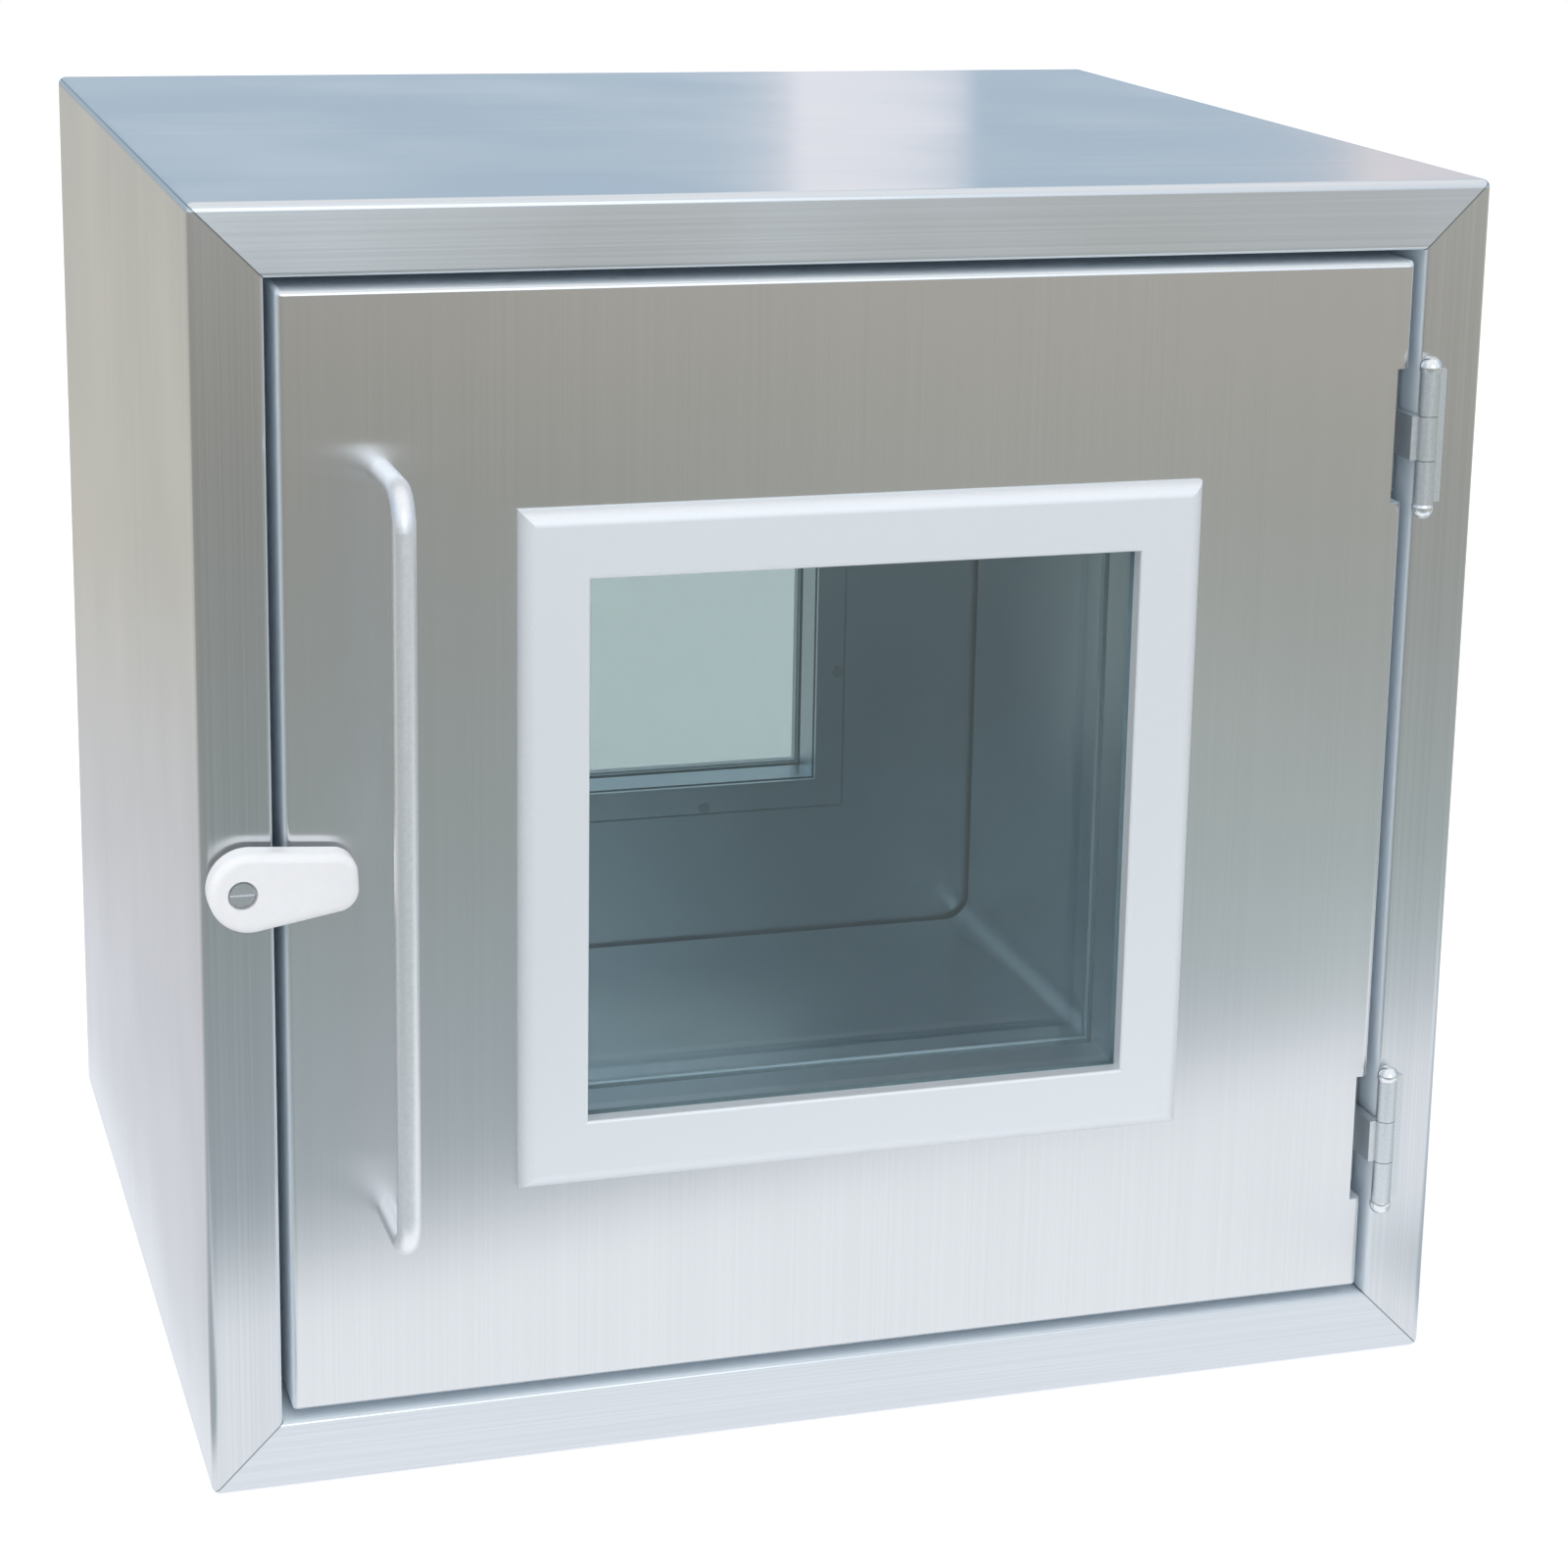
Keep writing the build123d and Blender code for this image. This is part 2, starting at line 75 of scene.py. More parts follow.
def add(tree, kind, inputs=None, stops=None, **settings):
    """Adds one node. The settings are its own properties, inputs fills its sockets, by name or by number,
    with a value or with another node's output, and stops gives a colour ramp its places and colours."""
    node = tree.nodes.new(kind)
    for name, value in settings.items():
        setattr(node, name, value)
    if stops:
        marks = node.color_ramp.elements
        marks.remove(marks[0])
        marks[0].position, marks[0].color = 1.0, linear(stops[1.0])
        for place, code in stops.items():
            if place < 1.0:
                marks.new(place).color = linear(code)
    for key, value in (inputs or {}).items():
        if isinstance(value, bpy.types.NodeSocket):
            tree.links.new(value, node.inputs[key])
        else:
            node.inputs[key].default_value = value
    return node


def empty_material(name):
    """A new material and its cleared node tree."""
    material = bpy.data.materials.new(name)
    material.use_nodes = True
    material.node_tree.nodes.clear()
    return material, material.node_tree


print("mid grey #808080 is", round(linear("#808080")[0], 3), "in linear light")

# %% [markdown]
# ## The studio
# Bare steel has hardly a colour of its own: it shows what stands round it. So the studio matters more here
# than any lamp. The light that falls on matt things is plain and even. What a shiny surface sees is
# richer: a blue-grey room, a bright ceiling overhead, two tall pale panels behind the cupboard, and a wide
# one in front of it. Light Path tells those kinds of ray apart, and the camera itself sees plain white.
# The room is worked out from the direction that a ray leaves in. Its height is (1 + the sine of its angle
# above the horizon) / 2, so that straight down is 0, the horizon 0.5 and straight up 1. Its bearing is the
# angle round from the back of the cupboard. The wall behind is bluer and darker than the one in front.

# %% The room round the cupboard
world = bpy.data.worlds.new("studio")
bpy.context.scene.world = world
world.use_nodes = True
room = world.node_tree
room.nodes.clear()
direction = add(room, "ShaderNodeTexCoord").outputs["Generated"]
parts = add(room, "ShaderNodeSeparateXYZ", {0: direction}).outputs
height = add(room, "ShaderNodeMapRange", {0: parts["Z"], 1: -1.0, 2: 1.0}).outputs[0]
bearing = add(room, "ShaderNodeMath", {0: parts["X"], 1: parts["Y"]}, operation="ARCTAN2").outputs[0]

behind_walls = add(room, "ShaderNodeValToRGB", {0: height}, stops={
    0.0: "#C4C4C0", 0.50: "#A9B4BC", 0.57: "#A8BCCE", 0.73: "#ACC0D2", 0.84: "#E9ECEF", 1.0: "#F0F2F4"})
front_walls = add(room, "ShaderNodeValToRGB", {0: height}, stops={
    0.0: "#C4C4C0", 0.46: "#C6CED4", 0.52: "#D8E2EB", 0.60: "#E2EAF2", 0.84: "#E9EDF1", 1.0: "#F0F2F4"})
in_front = add(room, "ShaderNodeMapRange", {0: parts["Y"], 1: 0.1, 2: -0.5},
               interpolation_type="SMOOTHSTEP").outputs[0]
room_light = add(room, "ShaderNodeMix", {
    0: in_front, 6: behind_walls.outputs[0], 7: front_walls.outputs[0]}, data_type="RGBA").outputs[2]

PANEL_FOOT, PANEL_HEAD = (0.52, 0.55), (0.80, 0.70)


def panel(light, angle, centre, half_width, soft, code, strength=1.0):
    """The room's light with a tall pale panel added. It is full where the angle is within the half width of
    the centre, and fades over soft degrees more. Its foot and head fade between two heights each."""
    off = add(room, "ShaderNodeMath", {0: angle, 1: radians(centre)}, operation="SUBTRACT").outputs[0]
    off = add(room, "ShaderNodeMath", {0: off}, operation="ABSOLUTE").outputs[0]
    across = add(room, "ShaderNodeMapRange", {0: off, 1: radians(half_width + soft), 2: radians(half_width)},
                 interpolation_type="SMOOTHSTEP").outputs[0]
    low = add(room, "ShaderNodeMapRange", {0: height, 1: PANEL_FOOT[0], 2: PANEL_FOOT[1]}).outputs[0]
    high = add(room, "ShaderNodeMapRange", {0: height, 1: PANEL_HEAD[0], 2: PANEL_HEAD[1]}).outputs[0]
    amount = add(room, "ShaderNodeMath", {0: across, 1: low}, operation="MULTIPLY").outputs[0]
    amount = add(room, "ShaderNodeMath", {0: amount, 1: high}, operation="MULTIPLY").outputs[0]
    bright = (*(strength * channel for channel in linear(code)[:3]), 1.0)
    return add(room, "ShaderNodeMix", {0: amount, 6: light, 7: bright}, data_type="RGBA").outputs[2]


room_light = panel(room_light, bearing, 18.2, 1.3, 0.2, "#F2F0F6")
room_light = panel(room_light, bearing, 27.4, 1.3, 0.8, "#DFD8DB")
from_back = add(room, "ShaderNodeMath", {0: bearing}, operation="ABSOLUTE").outputs[0]
room_light = panel(room_light, from_back, 180.0, 6.0, 20.0, "#E6EEF6", strength=2.2)

ray = add(room, "ShaderNodeLightPath").outputs
seen_white = add(room, "ShaderNodeMath", {0: ray["Is Camera Ray"], 1: ray["Is Transmission Ray"]},
                 operation="MAXIMUM").outputs[0]
MATT_LEVEL, MIRRORED_LEVEL = 0.85, 1.25
plain = add(room, "ShaderNodeBackground", {"Color": linear("#F4F6F8"), "Strength": MATT_LEVEL}).outputs[0]
shiny = add(room, "ShaderNodeBackground", {"Color": room_light, "Strength": MIRRORED_LEVEL}).outputs[0]
white = add(room, "ShaderNodeBackground", {"Color": (1, 1, 1, 1), "Strength": 1.0}).outputs[0]
shown = add(room, "ShaderNodeMixShader", {0: ray["Is Glossy Ray"], 1: plain, 2: shiny}).outputs[0]
shown = add(room, "ShaderNodeMixShader", {0: seen_white, 1: shown, 2: white}).outputs[0]
add(room, "ShaderNodeOutputWorld", {0: shown})
print("room: lit walls before and behind, and three pale panels")

# %% [markdown]
# Between two steel walls, as in the chamber and in the slit round each door, light bounces many times before
# it comes out. Cycles gives up after four mirror bounces by default, and would leave those places black.

# %% Let light bounce on between steel walls
cycles = bpy.context.scene.cycles
cycles.max_bounces, cycles.glossy_bounces, cycles.transparent_max_bounces = 16, 10, 24
print("mirror bounces allowed:", cycles.glossy_bounces)

# %% [markdown]
# Two large soft lamps give the shape: one overhead from the front left, and a weaker one from the right.
# A lamp of power P watts at distance d lights a matt surface that faces it by P / (pi d)^2, so the powers
# are worked out from the level that is wanted, and not tried out. Steel already mirrors the bright ceiling,
# so the lamps themselves are hidden from reflections.

# %% Two soft lamps
def soft_lamp(name, place, target, side, level):
    """A square area lamp at a place, turned to its target, with the power P = level * (pi * d)^2."""
    lamp = bpy.data.objects.new(name, bpy.data.lights.new(name, "AREA"))
    bpy.context.collection.objects.link(lamp)
    away = np.subtract(place, target)
    distance = float(np.linalg.norm(away))
    lamp.data.shape, lamp.data.size = "SQUARE", side
    lamp.data.energy = level * (np.pi * distance) ** 2
    lamp.location = place
    lamp.visible_glossy = False
    lamp.rotation_euler = (float(np.arccos(away[2] / distance)), 0.0,
                           float(np.arctan2(away[1], away[0])) + radians(90))
    print(name, "gives", round(lamp.data.energy), "W from", round(distance, 2), "m")


MIDDLE = (0.0, 0.0, CABINET_HEIGHT / 2)
soft_lamp("overhead_lamp", (-1.3, -1.5, 2.9), MIDDLE, 2.2, 0.30)
soft_lamp("side_lamp", (2.6, -1.2, 1.8), MIDDLE, 1.8, 0.08)

# %% [markdown]
# ## The floor
# The cupboard stands on a white table top, a little turned, and a grey floor lies beyond it, paler behind
# the cupboard than in front, where less light reaches it. A disc is enough for both: a point on it is
# (r cos t, r sin t), with r from nothing to the rim and t once round. The camera sees it as white, apart
# from the cupboard's soft shadow. A shiny surface sees it as a glow with that light and shade painted in:
# where the table ends gives the doors their light foot and darker head, and a band of painted shade along
# each side of the cupboard keeps the table's light off the stiles.

# %% A surface from rings of points
def ring_surface(name, points, material):
    """An object from rings of points, an array of rings x spokes x 3. Each quad joins a point to the next one
    on its ring, where the last goes back to the first, and both to their neighbours on the next ring."""
    rings, spokes = points.shape[:2]
    i, j = np.meshgrid(np.arange(rings - 1), np.arange(spokes), indexing="ij")
    i_next, j_next = i + 1, (j + 1) % spokes
    quads = np.stack([i * spokes + j, i_next * spokes + j,
                      i_next * spokes + j_next, i * spokes + j_next], -1).reshape(-1, 4)
    mesh = bpy.data.meshes.new(name)
    mesh.from_pydata(points.reshape(-1, 3), [], quads)
    mesh.update()
    mesh.materials.append(material)
    piece = bpy.data.objects.new(name, mesh)
    bpy.context.collection.objects.link(piece)
    print(name, "has", len(quads), "faces")
    return piece


# %% Floor paint and disc
TABLE_FRONT, TABLE_TURN, TABLE_HALF_WIDTH, TABLE_EDGE = 0.47, radians(-15.5), 0.75, 0.17
SHADE_SIDE, SHADE_SIDE_EDGE, SHADE_FRONT, SHADE_FRONT_EDGE = 0.31, 0.06, -0.45, 0.13
BACK_FLOOR, BACK_FLOOR_EDGE = -0.35, 0.4
NEAR_FLOOR, FAR_FLOOR = 0.6, 3.4
floor_paint, tree = empty_material("white_studio_floor")
spot = add(tree, "ShaderNodeTexCoord").outputs["Object"]
axes = add(tree, "ShaderNodeSeparateXYZ", {0: spot}).outputs
turned = add(tree, "ShaderNodeMapping", {"Vector": spot, "Rotation": (0.0, 0.0, -TABLE_TURN)}).outputs[0]
turned = add(tree, "ShaderNodeSeparateXYZ", {0: turned}).outputs
out_x = add(tree, "ShaderNodeMath", {0: axes["X"]}, operation="ABSOLUTE").outputs[0]
out_y = add(tree, "ShaderNodeMath", {0: turned["Y"]}, operation="ABSOLUTE").outputs[0]
edges = ((out_y, TABLE_FRONT, TABLE_EDGE), (out_x, TABLE_HALF_WIDTH, TABLE_EDGE),
         (out_x, SHADE_SIDE, SHADE_SIDE_EDGE), (axes["Y"], SHADE_FRONT, SHADE_FRONT_EDGE),
         (axes["Y"], BACK_FLOOR, BACK_FLOOR_EDGE))
past_front, past_side, in_side_shade_x, in_side_shade_y, at_back = (
    add(tree, "ShaderNodeMapRange", {0: value, 1: edge, 2: edge + soft},
        interpolation_type="SMOOTHSTEP").outputs[0]
    for value, edge, soft in edges)
# Painted shade: beside each side of the cupboard and behind its front, the table is painted the ground's grey
# for shiny rays.
side_shade = add(tree, "ShaderNodeMath", {0: in_side_shade_x, 1: in_side_shade_y}, operation="MULTIPLY").outputs[0]
beyond = add(tree, "ShaderNodeMath", {0: past_front, 1: past_side}, operation="MAXIMUM").outputs[0]
beyond = add(tree, "ShaderNodeMath", {0: beyond, 1: side_shade}, operation="MAXIMUM").outputs[0]
far = add(tree, "ShaderNodeVectorMath", {0: spot}, operation="LENGTH").outputs["Value"]
far = add(tree, "ShaderNodeMapRange", {0: far, 1: NEAR_FLOOR, 2: FAR_FLOOR}).outputs[0]
front_ground = add(tree, "ShaderNodeValToRGB", {0: far}, stops={
    0.0: "#A8B2B8", 0.22: "#9AA2A1", 0.6: "#9B9C97", 1.0: "#A3A099"}).outputs[0]
# Painted light: the ground in front is painted brighter towards the right of the cupboard, most of all near
# it, as a pool of light.
to_side = add(tree, "ShaderNodeMapRange", {0: axes["X"], 1: 0.1, 2: 0.7}).outputs[0]
near_side = add(tree, "ShaderNodeMapRange", {0: far, 1: 0.15, 2: 0.5, 3: 0.5, 4: 0.27}).outputs[0]
side_light = add(tree, "ShaderNodeMath", {0: to_side, 1: near_side, 2: 1.0},
                 operation="MULTIPLY_ADD").outputs[0]
front_ground = add(tree, "ShaderNodeVectorMath", {0: front_ground, "Scale": side_light},
                   operation="SCALE").outputs[0]
back_ground = add(tree, "ShaderNodeValToRGB", {0: far}, stops={
    0.0: "#DADBE1", 0.4: "#D0CDC4", 1.0: "#D0CDC4"}).outputs[0]
ground = add(tree, "ShaderNodeMix", {0: at_back, 6: front_ground, 7: back_ground},
             data_type="RGBA").outputs[2]
# Painted light and shade: shiny rays see the floor as a glow, white on the table and grey beyond it.
reflected = add(tree, "ShaderNodeMix", {0: beyond, 6: linear("#F4F8FD"), 7: ground},
                data_type="RGBA").outputs[2]
FLOOR_MIRRORED, FLOOR_GLOW = 1.15, 0.42
mirrored = add(tree, "ShaderNodeEmission", {"Color": reflected, "Strength": FLOOR_MIRRORED}).outputs[0]
matt = add(tree, "ShaderNodeBsdfDiffuse", {"Color": linear("#F0F0F0")}).outputs[0]
glow = add(tree, "ShaderNodeEmission", {"Color": (1, 1, 1, 1), "Strength": FLOOR_GLOW}).outputs[0]
lifted = add(tree, "ShaderNodeAddShader", {0: matt, 1: glow}).outputs[0]
ray = add(tree, "ShaderNodeLightPath").outputs
seen = add(tree, "ShaderNodeMath", {0: ray["Is Camera Ray"], 1: ray["Is Transmission Ray"]},
           operation="MAXIMUM").outputs[0]
paint = add(tree, "ShaderNodeMixShader", {0: seen, 1: matt, 2: lifted}).outputs[0]
paint = add(tree, "ShaderNodeMixShader", {0: ray["Is Glossy Ray"], 1: paint, 2: mirrored}).outputs[0]
add(tree, "ShaderNodeOutputMaterial", {0: paint})

FLOOR_RADIUS, FLOOR_DROP, RINGS, SPOKES = 7.0, 0.0002, 12, 96
r, t = np.meshgrid(np.linspace(0.01, 1.0, RINGS) ** 2 * FLOOR_RADIUS,
                   np.linspace(0, 2 * np.pi, SPOKES + 1)[:-1], indexing="ij")
disc = np.stack([r * np.cos(t), r * np.sin(t), np.full_like(r, -FLOOR_DROP)], -1)
ring_surface("floor", disc, floor_paint)

# %% [markdown]
# ## Brushed stainless steel
# The casing and the doors are folded from 304 sheet with a No. 4 finish: the mill drags a belt of 150 to 180
# grit along the sheet, and leaves fine straight scratches. Light that comes off it is smeared across the
# scratches and stays sharp along them. That is what Anisotropic does: the tangent gives the direction of the
# grain, and a quarter turn puts the wide smear across it. The grain runs along the length of each panel, so
# the rails have it level and the stiles and doors upright, and a mitred corner shows as a change of tone.
# A real scratch is under 0.1 mm wide. That is too fine to show, so the streaks are drawn 0.9 mm wide and
# 400 mm long, with a second, broader set for the slow bands that a worn belt leaves. The folded returns in
# the slit round each door are painted with light: they get a paler, duller and only partly metallic copy
# of the steel, which lifts the shade in the slit.

# %% Streaks along a grain
def streaks(tree, grain, width, length, detail=3.0):
    """A noise that is stretched along one axis: the point is divided by the streak's width across the grain
    and by its length along it, both in metres."""
    spot = add(tree, "ShaderNodeTexCoord").outputs["Object"]
    scale = [1 / width] * 3
    scale[grain] = 1 / length
    drawn = add(tree, "ShaderNodeMapping", {"Vector": spot, "Scale": scale}).outputs[0]
    return add(tree, "ShaderNodeTexNoise", {"Vector": drawn, "Scale": 1.0, "Detail": detail}).outputs[0]


def blotches(tree, size, detail=2.0):
    """A soft cloudy noise with patches of about that size, in metres."""
    spot = add(tree, "ShaderNodeTexCoord").outputs["Object"]
    return add(tree, "ShaderNodeTexNoise", {"Vector": spot, "Scale": 1 / size, "Detail": detail}).outputs[0]


def from_middle(tree):
    """How far a point is from the cabinet's middle, to either side and up or down: |x| and |z - height/2|."""
    spot = add(tree, "ShaderNodeTexCoord").outputs["Object"]
    axes = add(tree, "ShaderNodeSeparateXYZ", {0: spot}).outputs
    across = add(tree, "ShaderNodeMath", {0: axes["X"]}, operation="ABSOLUTE").outputs[0]
    up = add(tree, "ShaderNodeMath", {0: axes["Z"], 1: CABINET_HEIGHT / 2}, operation="SUBTRACT").outputs[0]
    return across, add(tree, "ShaderNodeMath", {0: up}, operation="ABSOLUTE").outputs[0]


def facing_y(tree):
    """How squarely a face looks to the front or the back: 1 where its normal is along Y, and 0 edge on."""
    normal = add(tree, "ShaderNodeTexCoord").outputs["Normal"]
    axes = add(tree, "ShaderNodeSeparateXYZ", {0: normal}).outputs
    return add(tree, "ShaderNodeMath", {0: axes["Y"]}, operation="ABSOLUTE").outputs[0]


RETURN_ROUGHNESS, RETURN_METAL, SKIN_MARGIN = 0.65, 0.6, 0.01


def painted_light_on_returns(tree):
    """1 on the folded returns in the slit round a door, whose shade is lifted with painted light, and 0
    elsewhere. There the normal isn't along Y, and the larger of the distances from the cabinet's middle, to
    the side and up, is less than to its skin."""
    edge_on = add(tree, "ShaderNodeMapRange", {0: facing_y(tree), 1: 0.9, 2: 0.6}).outputs[0]
    across, up = from_middle(tree)
    reach = add(tree, "ShaderNodeMath", {0: across, 1: up}, operation="MAXIMUM").outputs[0]
    inside = add(tree, "ShaderNodeMath", {0: reach, 1: CABINET_HEIGHT / 2 - SKIN_MARGIN},
                 operation="LESS_THAN").outputs[0]
    return add(tree, "ShaderNodeMath", {0: edge_on, 1: inside}, operation="MULTIPLY").outputs[0]


STREAK_WIDTH, STREAK_LENGTH, BAND_WIDTH, BAND_LENGTH, HANDLED_SIZE = 0.0009, 0.40, 0.010, 2.5, 0.16
SCRATCH_DEPTH = 0.00002


def brushed_steel(name, grain, dark, light, roughness, smear, seams=False):
    """Brushed sheet with its grain along axis 0 (X) or 2 (Z). The colour runs from dark to light with the
    streaks, and the roughness goes up where hands and cloths have dulled it. The smear is Anisotropic."""
    material, tree = empty_material(name)
    fine = streaks(tree, grain, STREAK_WIDTH, STREAK_LENGTH)
    broad = streaks(tree, grain, BAND_WIDTH, BAND_LENGTH, detail=1.0)
    handled = blotches(tree, HANDLED_SIZE)
    mixed = add(tree, "ShaderNodeMath", {0: broad, 1: 0.25}, operation="MULTIPLY").outputs[0]
    mixed = add(tree, "ShaderNodeMath", {0: fine, 1: 0.75, 2: mixed}, operation="MULTIPLY_ADD").outputs[0]
    spread = add(tree, "ShaderNodeMapRange", {0: mixed, 1: 0.35, 2: 0.65}).outputs[0]
    colour = add(tree, "ShaderNodeMix", {0: spread, 6: linear(dark), 7: linear(light)},
                 data_type="RGBA").outputs[2]
    dull = add(tree, "ShaderNodeMapRange", {0: handled, 1: 0.35, 2: 0.7, 3: roughness - 0.02,
                                            4: roughness + 0.05}).outputs[0]
    dull = add(tree, "ShaderNodeMath", {0: fine, 1: 0.02, 2: dull}, operation="MULTIPLY_ADD").outputs[0]
    # Painted light: on the returns in the slit the steel becomes a pale, dull, partly matt copy that lifts
    # the slit's shade.
    returns = painted_light_on_returns(tree)
    dull = add(tree, "ShaderNodeMix", {0: returns, 2: dull, 3: RETURN_ROUGHNESS}).outputs[0]
    colour = add(tree, "ShaderNodeMix", {0: returns, 6: colour, 7: linear("#EAF2F8")},
                 data_type="RGBA").outputs[2]
    metallic = add(tree, "ShaderNodeMix", {0: returns, 2: 1.0, 3: RETURN_METAL}).outputs[0]
    if seams:
        colour = seam_shade(tree, colour)
    scratched = add(tree, "ShaderNodeBump", {
        "Strength": 0.03, "Distance": SCRATCH_DEPTH, "Height": fine}).outputs[0]
    along = [0.0, 0.0, 0.0]
    along[grain] = 1.0
    tangent = add(tree, "ShaderNodeCombineXYZ", dict(enumerate(along))).outputs[0]
    steel = add(tree, "ShaderNodeBsdfPrincipled", {
        "Base Color": colour, "Metallic": metallic, "Roughness": dull, "Normal": scratched,
        "Anisotropic": smear, "Anisotropic Rotation": 0.25, "Tangent": tangent})
    add(tree, "ShaderNodeOutputMaterial", {0: steel.outputs[0]})
    return material


# %% [markdown]
# The four panels of the casing meet at mitred corners on the front and the back. The joint is a hairline
# that holds a little dirt. A point is on it where it is as far in from the side as it is from the top or the
# bottom, so the shade is full where those two distances are equal, and fades over the seam's width.

# %% The shade in a mitred seam
SEAM_WIDTH = 0.0007


def seam_shade(tree, colour):
    """The colour, darker where a point is as far from the cabinet's side as from its top or bottom."""
    across, up = from_middle(tree)
    gap = add(tree, "ShaderNodeMath", {0: across, 1: up}, operation="SUBTRACT").outputs[0]
    gap = add(tree, "ShaderNodeMath", {0: gap, 1: (CABINET_WIDTH - CABINET_HEIGHT) / 2},
              operation="SUBTRACT").outputs[0]
    gap = add(tree, "ShaderNodeMath", {0: gap}, operation="ABSOLUTE").outputs[0]
    line = add(tree, "ShaderNodeMapRange", {0: gap, 1: SEAM_WIDTH, 2: SEAM_WIDTH * 0.3},
               interpolation_type="SMOOTHSTEP").outputs[0]
    return add(tree, "ShaderNodeMix", {0: line, 6: colour, 7: linear("#8B9294")}, data_type="RGBA").outputs[2]


# %% Casing and doors
casing_level = brushed_steel("casing_steel_level_grain", 0, "#D1D4D7", "#D8DBDE", 0.15, 1.0, seams=True)
casing_upright = brushed_steel("casing_steel_upright_grain", 2, "#D0D2D4", "#D7D9DB", 0.19, 0.9, seams=True)
door_face = brushed_steel("door_steel_brushed", 2, "#DBDCDD", "#DEDFE0", 0.19, 0.9)
print("brushed finishes:", casing_level.name, casing_upright.name, door_face.name)

# %% [markdown]
# ## The chamber
# The liner is the same sheet, but its smooth 2B mill side faces the chamber, because it wipes clean. It is
# greyer and softer than the brushed outside. The landing frame that the door's seal closes on is part of
# the same skin, and both are seen only through the windows or with a door open. The tunnel that holds the
# two panes of each window is made of it too, and the glass is bonded to its flanges with a pale sealant.

# %% Smooth liner steel
CLOUD_SIZE, MILL_GLOSSY, MILL_DULL, BEAD_MARK = 0.11, 0.30, 0.48, 0.003


def mill_steel(name, bonded=False):
    """Sheet with the mill's smooth skin and its cloudy gloss. Where it is bonded, the faces that lie against
    the glass, whose normal is along Y, show the bead of pale sealant through the pane."""
    material, tree = empty_material(name)
    cloudy = blotches(tree, CLOUD_SIZE, detail=4.0)
    colour = add(tree, "ShaderNodeMix", {0: cloudy, 6: linear("#CCD7DE"), 7: linear("#F5FAFE")},
                 data_type="RGBA").outputs[2]
    dull = add(tree, "ShaderNodeMapRange", {0: cloudy, 3: MILL_GLOSSY, 4: MILL_DULL},
               interpolation_type="SMOOTHSTEP").outputs[0]
    shown = add(tree, "ShaderNodeBsdfPrincipled", {"Base Color": colour, "Metallic": 1.0, "Roughness": dull})
    if bonded:
        flange = add(tree, "ShaderNodeMath", {0: facing_y(tree), 1: 0.7}, operation="GREATER_THAN").outputs[0]
        bead = add(tree, "ShaderNodeMix", {
            0: blotches(tree, BEAD_MARK), 6: linear("#A9C0CA"), 7: linear("#B8CCD5")},
            data_type="RGBA").outputs[2]
        sealant = add(tree, "ShaderNodeBsdfPrincipled", {"Base Color": bead, "Roughness": 0.5, "IOR": 1.41})
        shown = add(tree, "ShaderNodeMixShader", {0: flange, 1: shown.outputs[0], 2: sealant.outputs[0]})
    add(tree, "ShaderNodeOutputMaterial", {0: shown.outputs[0]})
    return material


liner_finish = mill_steel("liner_steel_mill_finish")
tunnel_finish = mill_steel("window_tunnel_steel_bonded", bonded=True)
print("mill finishes:", liner_finish.name, tunnel_finish.name)

# %% [markdown]
# ## Small metal parts
# The handle is drawn stainless bar, bent and then glass-bead blasted, so it is paler than the sheet and has a
# wide soft highlight. The hinge leaves are stamped and tumbled, which leaves an even satin.
# Pins and screws are turned and bright. The bushes are plain brass. One function makes them all, because they
# differ only in colour, gloss and the size of their marks.

# %% Satin and bright metals
def worked_metal(name, dark, light, roughness, spread, mark, bump=0.1, metallic=1.0):
    """A metal with marks of about that size, in metres: they move its colour from dark to light, and its
    roughness up and down by the spread."""
    material, tree = empty_material(name)
    marks = blotches(tree, mark, detail=5.0)
    amount = add(tree, "ShaderNodeMapRange", {0: marks, 1: 0.3, 2: 0.7}).outputs[0]
    colour = add(tree, "ShaderNodeMix", {0: amount, 6: linear(dark), 7: linear(light)},
                 data_type="RGBA").outputs[2]
    dull = add(tree, "ShaderNodeMapRange", {0: marks, 1: 0.3, 2: 0.7, 3: roughness - spread,
                                            4: roughness + spread}).outputs[0]
    relief = add(tree, "ShaderNodeBump", {"Strength": bump, "Distance": 0.00005, "Height": marks}).outputs[0]
    metal = add(tree, "ShaderNodeBsdfPrincipled", {
        "Base Color": colour, "Metallic": metallic, "Roughness": dull, "Normal": relief})
    add(tree, "ShaderNodeOutputMaterial", {0: metal.outputs[0]})
    return material


handle_finish = worked_metal("handle_steel_satin_bar", "#ECECED", "#F3F3F4", 0.42, 0.03, 0.0015)
hinge_finish = worked_metal("hinge_steel_tumbled", "#CDD1D3", "#DDE0E2", 0.38, 0.05, 0.0010, bump=0.2)
pin_finish = worked_metal("pin_steel_bright_turned", "#E2E3E4", "#ECEDEE", 0.14, 0.02, 0.0008)
screw_finish = worked_metal("screw_steel_bright", "#C6C8CA", "#D8DADB", 0.33, 0.03, 0.0006)
brass_finish = worked_metal("bush_brass_turned", "#C9A45A", "#D9B76C", 0.33, 0.03, 0.0008)

# %% [markdown]
# The frame round each window is an aluminium section, sandblasted and clear anodised. The blasting gives an
# even matt skin of tiny pits, 0.3 mm across, drawn here at 0.6 mm. The oxide over them scatters about half
# of the light, as white paint does, so the finish is only half metallic, and whiter than steel.

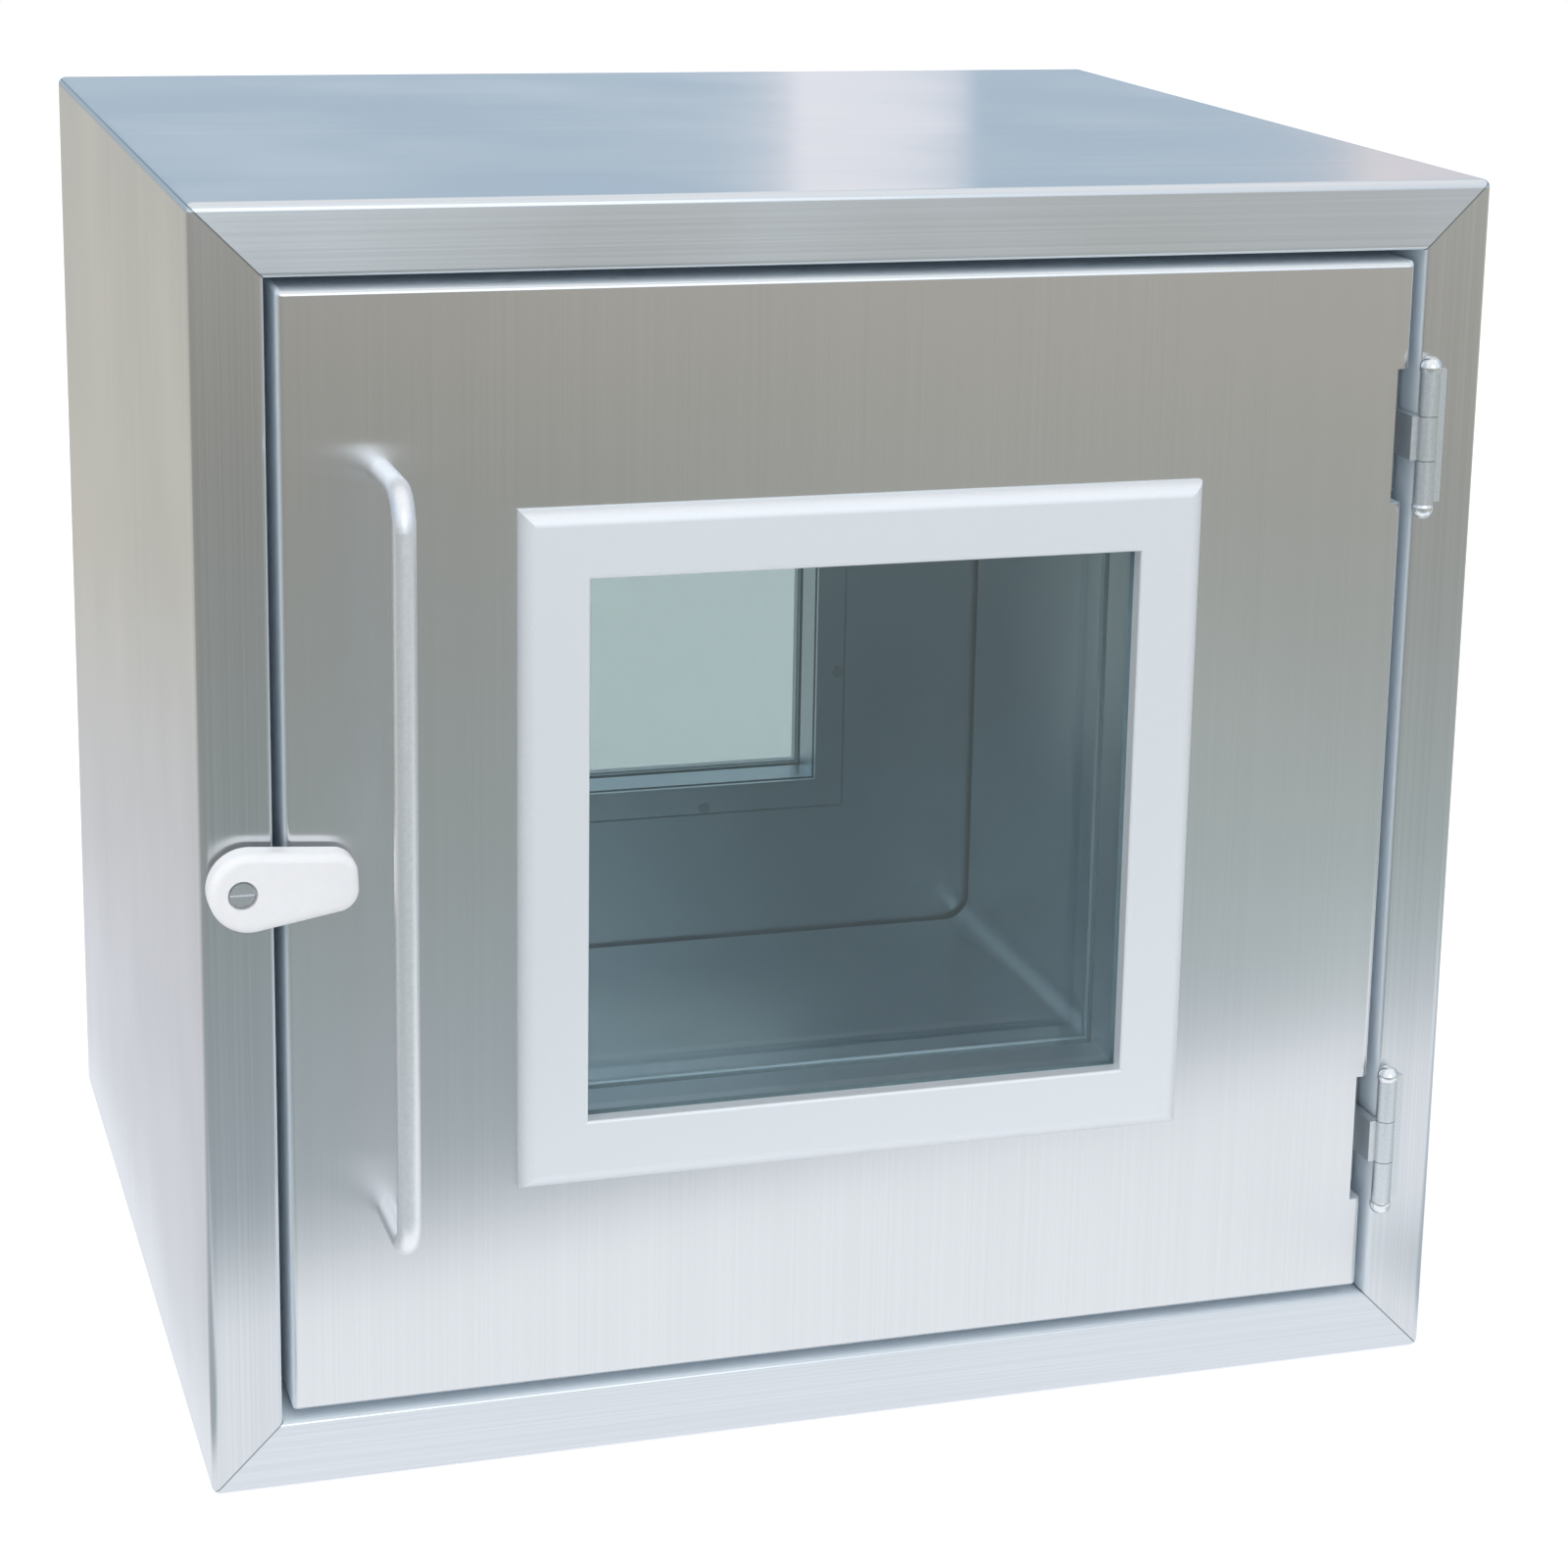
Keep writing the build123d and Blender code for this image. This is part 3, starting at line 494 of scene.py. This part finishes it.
# %% Anodised aluminium
trim_finish = worked_metal("trim_aluminium_anodised", "#E6E9EC", "#EDF0F3", 0.50, 0.03, 0.0006, bump=0.15,
                           metallic=0.5)
print("small metals:", [m.name for m in (handle_finish, hinge_finish, pin_finish, screw_finish,
                                         brass_finish, trim_finish)])

# %% [markdown]
# ## Glass
# Each window is two panes of float glass with a dry gap. Glass could be a refracting shader, but a flat pane
# bends nothing that matters and would keep the light out of the chamber. So it is thin: clear where the
# light goes straight on, less the green-blue that iron in the glass gives it, and glossy by Fresnel where it
# is seen at a slant. Only the face that is met from outside reflects, for both faces of the pane.

# %% Float glass
GLASS_TINT, GLASS_INDEX, BOTH_FACES = "#F2F5F5", 1.52, 1.8
glass_finish, tree = empty_material("float_glass")
through = add(tree, "ShaderNodeBsdfTransparent", {"Color": linear(GLASS_TINT)}).outputs[0]
smears = blotches(tree, 0.06, detail=3.0)
film = add(tree, "ShaderNodeMapRange", {0: smears, 1: 0.45, 2: 0.7, 3: 0.02, 4: 0.10}).outputs[0]
sheen = add(tree, "ShaderNodeBsdfAnisotropic", {"Color": linear("#F4FAFC"), "Roughness": film}).outputs[0]
slant = add(tree, "ShaderNodeFresnel", {"IOR": GLASS_INDEX}).outputs[0]
outside = add(tree, "ShaderNodeMath", {0: 1.0, 1: add(tree, "ShaderNodeNewGeometry").outputs["Backfacing"]},
              operation="SUBTRACT").outputs[0]
both = add(tree, "ShaderNodeMath", {0: outside, 1: BOTH_FACES}, operation="MULTIPLY").outputs[0]
amount = add(tree, "ShaderNodeMath", {0: slant, 1: both}, operation="MULTIPLY", use_clamp=True).outputs[0]
pane = add(tree, "ShaderNodeMixShader", {0: amount, 1: through, 2: sheen}).outputs[0]
add(tree, "ShaderNodeOutputMaterial", {0: pane})

# %% [markdown]
# ## Rubber, plastic and foam
# The glazing gasket is a bead of blue-grey silicone, and the door seal is a silicone sponge, which is paler
# and chalky. Each latch lever is moulded in white acetal: smooth and slightly waxy, so light goes a little
# way in. The core that stiffens each door is cut from grey polyurethane foam, with cells about 1 mm across.

# %% Moulded and foamed materials
def moulded(name, dark, light, roughness, mark, relief=0.2, **more):
    """A material that isn't metal, with marks of about that size, in metres, and more of the shader's own
    sockets by name."""
    material, tree = empty_material(name)
    marks = blotches(tree, mark, detail=4.0)
    colour = add(tree, "ShaderNodeMix", {0: marks, 6: linear(dark), 7: linear(light)},
                 data_type="RGBA").outputs[2]
    dull = add(tree, "ShaderNodeMapRange", {0: marks, 3: roughness - 0.05, 4: roughness + 0.05}).outputs[0]
    skin = add(tree, "ShaderNodeBump", {"Strength": relief, "Distance": 0.0001, "Height": marks}).outputs[0]
    shader = add(tree, "ShaderNodeBsdfPrincipled", {"Base Color": colour, "Roughness": dull, "Normal": skin})
    for socket, value in more.items():
        shader.inputs[socket.replace("_", " ")].default_value = value
    add(tree, "ShaderNodeOutputMaterial", {0: shader.outputs[0]})
    return material


gasket_finish = moulded("gasket_silicone_grey", "#A0B6BF", "#ADC2CB", 0.50, 0.002, IOR=1.41)
seal_finish = moulded("seal_silicone_sponge", "#CCD8DE", "#D8E3E9", 0.60, 0.0015, relief=0.5, IOR=1.41)
lever_finish = moulded("lever_acetal_white", "#F1F2F4", "#F6F7F9", 0.32, 0.004, relief=0.1, IOR=1.48,
                       Subsurface_Weight=0.12, Subsurface_Scale=0.002)
foam_finish = moulded("core_foam_polyurethane", "#8C8D8B", "#A2A39F", 0.90, 0.001, relief=1.0, IOR=1.50)

# %% [markdown]
# ## Every piece gets its finish
# The model names a material slot for each piece. A dictionary from slot to finish dresses them all, and only
# a few pieces go by name: the sides of the casing, because their grain is upright, and the window tunnels.

# %% Give each piece its finish
FINISHES = {
    "casing_steel": casing_level, "door_steel": door_face, "liner_steel": liner_finish,
    "hinge_steel": hinge_finish, "handle_steel": handle_finish, "polished_steel": pin_finish,
    "screw_steel": screw_finish, "bush_brass": brass_finish, "trim_aluminium": trim_finish,
    "window_glass": glass_finish, "gasket_rubber": gasket_finish, "seal_rubber": seal_finish,
    "door_foam": foam_finish, "lever_plastic": lever_finish,
}
BY_NAME = {
    "casing_left_panel": casing_upright, "casing_right_panel": casing_upright,
    "front_window_tunnel": tunnel_finish, "rear_window_tunnel": tunnel_finish,
}
for name, piece in NODES.items():
    for place in piece.material_slots:
        slot = place.material.name.split(".")[0]
        place.material = BY_NAME.get(name, FINISHES[slot])
print("dressed", len(NODES), "pieces in", len({s.material.name for o in NODES.values()
                                               for s in o.material_slots}), "finishes")
